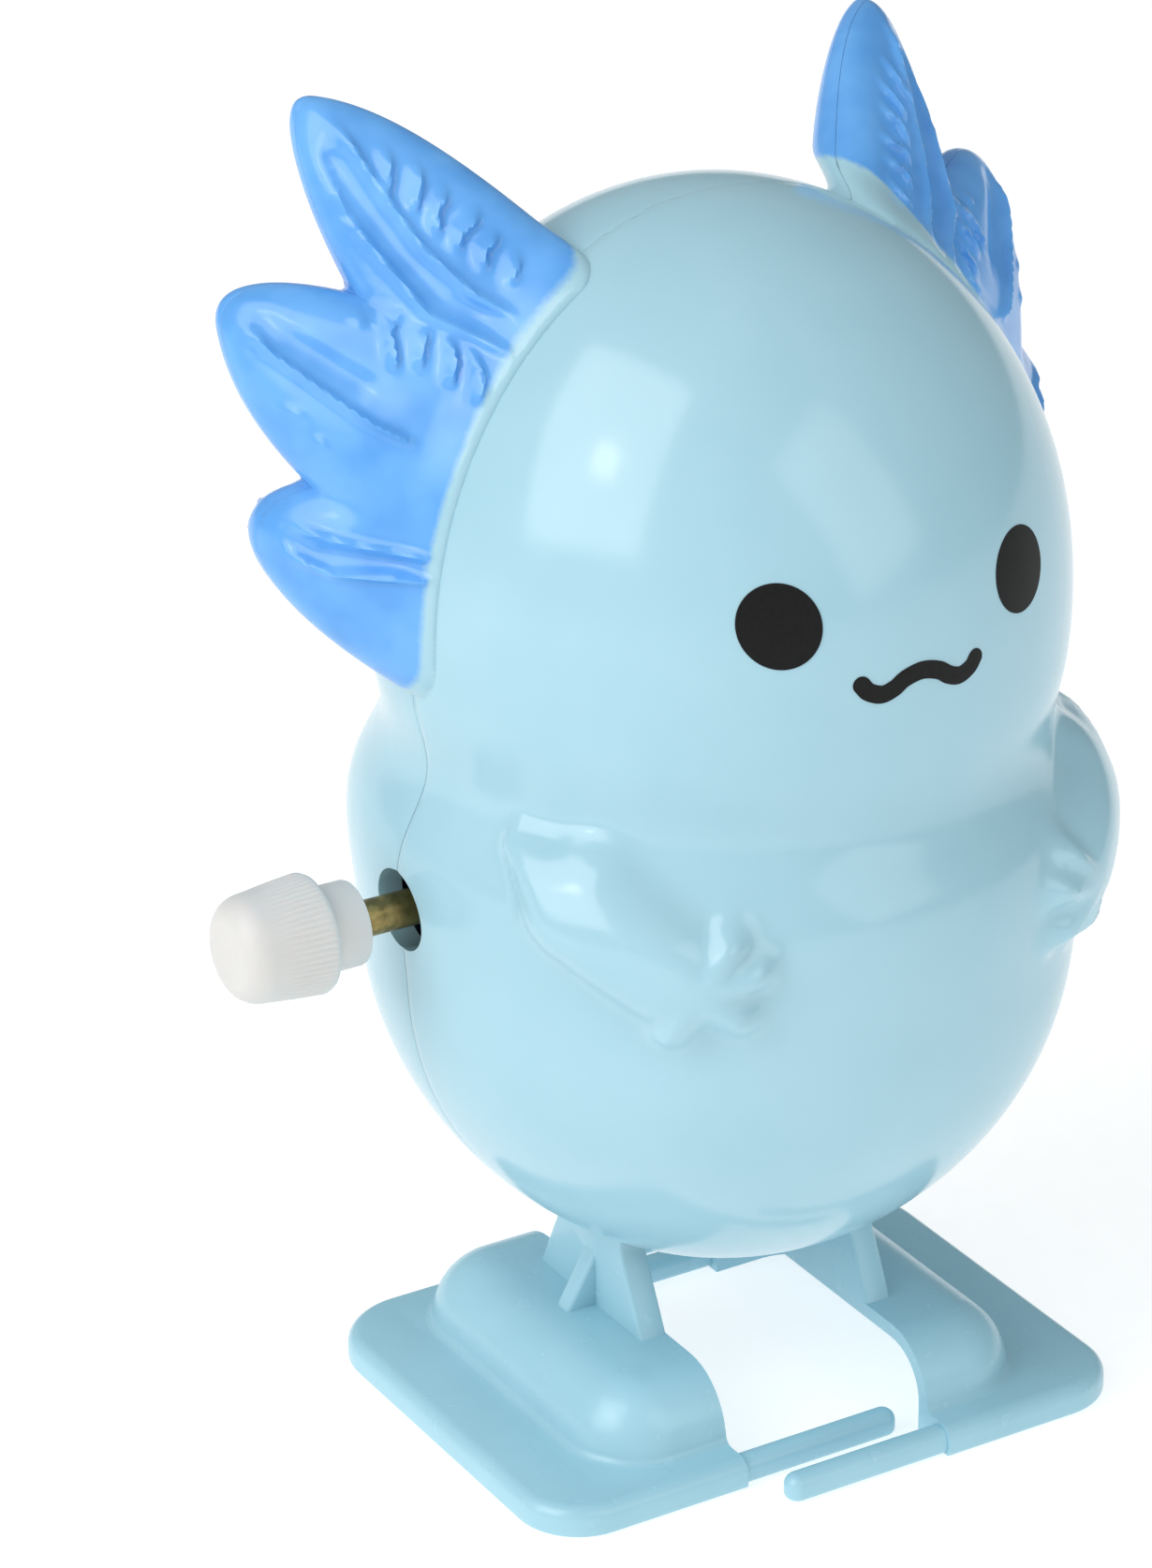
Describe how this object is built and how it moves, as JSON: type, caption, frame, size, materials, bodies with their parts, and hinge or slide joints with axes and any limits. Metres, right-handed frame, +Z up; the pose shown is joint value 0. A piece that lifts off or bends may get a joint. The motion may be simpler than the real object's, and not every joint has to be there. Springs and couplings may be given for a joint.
{
  "type": "wind-up walking toy",
  "caption": "Clockwork walking axolotl toy: hollow two-shell body with gills, side winding knob, and two cranked feet with bars that overlap.",
  "frame": {"origin": "bottom centre of the overall box, on the surface that the soles stand on; the toy's own middle plane is x = 3.5 mm, because the knob stands out on the -X side", "axes": "+Z up along the body, -Y the way the toy faces and walks, +X to the side away from the winding knob"},
  "size_m": [0.0652, 0.0496, 0.0897],
  "materials": {
    "shell": "glossy injection-moulded ABS",
    "foot": "glossy injection-moulded ABS",
    "knob": "satin translucent nylon",
    "brass": "dull drawn brass",
    "steel": "bright drawn steel",
    "spring": "blued spring steel",
    "case": "satin moulded acetal",
    "gear": "satin moulded acetal"
  },
  "bodies": {
    "case": {"front_shell": "shell", "back_shell": "shell", "motor_case": "case", "motor_cover": "case", "mainspring": "spring", "second_arbor": "steel", "escape_arbor": "steel", "pallet_arbor": "steel", "left_guide_pin": "steel", "right_guide_pin": "steel"},
    "great": {"great_wheel": "gear", "click_spring": "spring"},
    "winder": {"winding_arbor": "brass", "winding_knob": "knob", "ratchet_wheel": "gear"},
    "second": {"second_wheel": "gear"},
    "crankshaft": {"crank_axle": "steel", "crank_gear": "gear", "left_crank": "gear", "right_crank": "gear", "left_crank_cap": "gear", "right_crank_cap": "gear"},
    "escape": {"escape_wheel": "gear"},
    "rocker": {"pallet": "gear"},
    "left_leg": {"left_foot": "foot"},
    "right_leg": {"right_foot": "foot"}
  },
  "joints": [
    {"name": "crank_turn", "type": "hinge", "parent": "case", "child": "crankshaft", "pos_m": [0.00349, 0, 0.0238], "axis": [1, 0, 0], "continuous": true},
    {"name": "second_wheel_turn", "type": "hinge", "parent": "case", "child": "second", "pos_m": [0.00349, 0.00714, 0.03022], "axis": [1, 0, 0], "continuous": true},
    {"name": "great_wheel_turn", "type": "hinge", "parent": "case", "child": "great", "pos_m": [0.00349, 0, 0.0406], "axis": [1, 0, 0], "continuous": true},
    {"name": "escape_wheel_turn", "type": "hinge", "parent": "case", "child": "escape", "pos_m": [0.00349, -0.00664, 0.02845], "axis": [1, 0, 0], "continuous": true},
    {"name": "pallet_rock", "type": "hinge", "parent": "case", "child": "rocker", "pos_m": [0.00349, -0.01088, 0.0335], "axis": [1, 0, 0], "range_deg": [-5, 5]},
    {"name": "winding_turn", "type": "hinge", "parent": "great", "child": "winder", "pos_m": [0.00349, 0, 0.0406], "axis": [1, 0, 0], "range_deg": [0, 1980]},
    {"name": "left_leg_step", "type": "hinge", "parent": "crankshaft", "child": "left_leg", "pos_m": [0.00349, 0.0019, 0.0238], "axis": [1, 0, 0], "continuous": true},
    {"name": "right_leg_step", "type": "hinge", "parent": "crankshaft", "child": "right_leg", "pos_m": [0.00349, -0.0019, 0.0238], "axis": [1, 0, 0], "continuous": true}
  ],
  "couplings": [
    {"joint": "second_wheel_turn", "follows": "crank_turn", "ratio": -0.35714},
    {"joint": "great_wheel_turn", "follows": "crank_turn", "ratio": 0.089286},
    {"joint": "escape_wheel_turn", "follows": "crank_turn", "ratio": -3},
    {"joint": "left_leg_step", "follows": "crank_turn", "ratio": -1},
    {"joint": "right_leg_step", "follows": "crank_turn", "ratio": -1}
  ]
}
